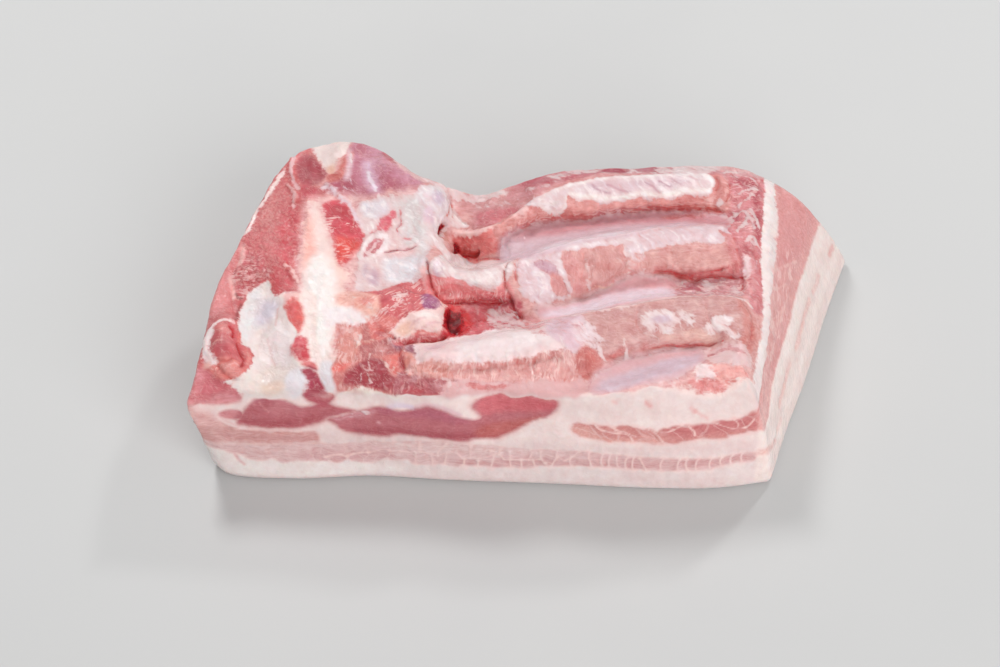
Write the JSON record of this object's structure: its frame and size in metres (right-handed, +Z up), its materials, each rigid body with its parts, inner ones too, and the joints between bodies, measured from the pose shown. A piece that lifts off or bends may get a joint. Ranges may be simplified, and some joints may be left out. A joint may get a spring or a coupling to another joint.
{
  "type": "pork belly slab",
  "caption": "Raw pork belly slab lying rind down, with layers of fat and lean on its cut sides and the beds of the removed ribs on top.",
  "frame": {"origin": "under the middle of the slab's box, on the surface that the rind rests on", "axes": "+X from the breastbone edge to the loin cut, +Y from the front cut to the back cut, +Z up, out of the rib side"},
  "size_m": [0.2904, 0.1452, 0.0683],
  "materials": {
    "raw_pork": "moist raw meat: pale pink fat and rind, rose to red lean, glossy membrane on the rib side"
  },
  "bodies": {
    "root": {"pork_belly": "raw_pork"}
  },
  "joints": []
}
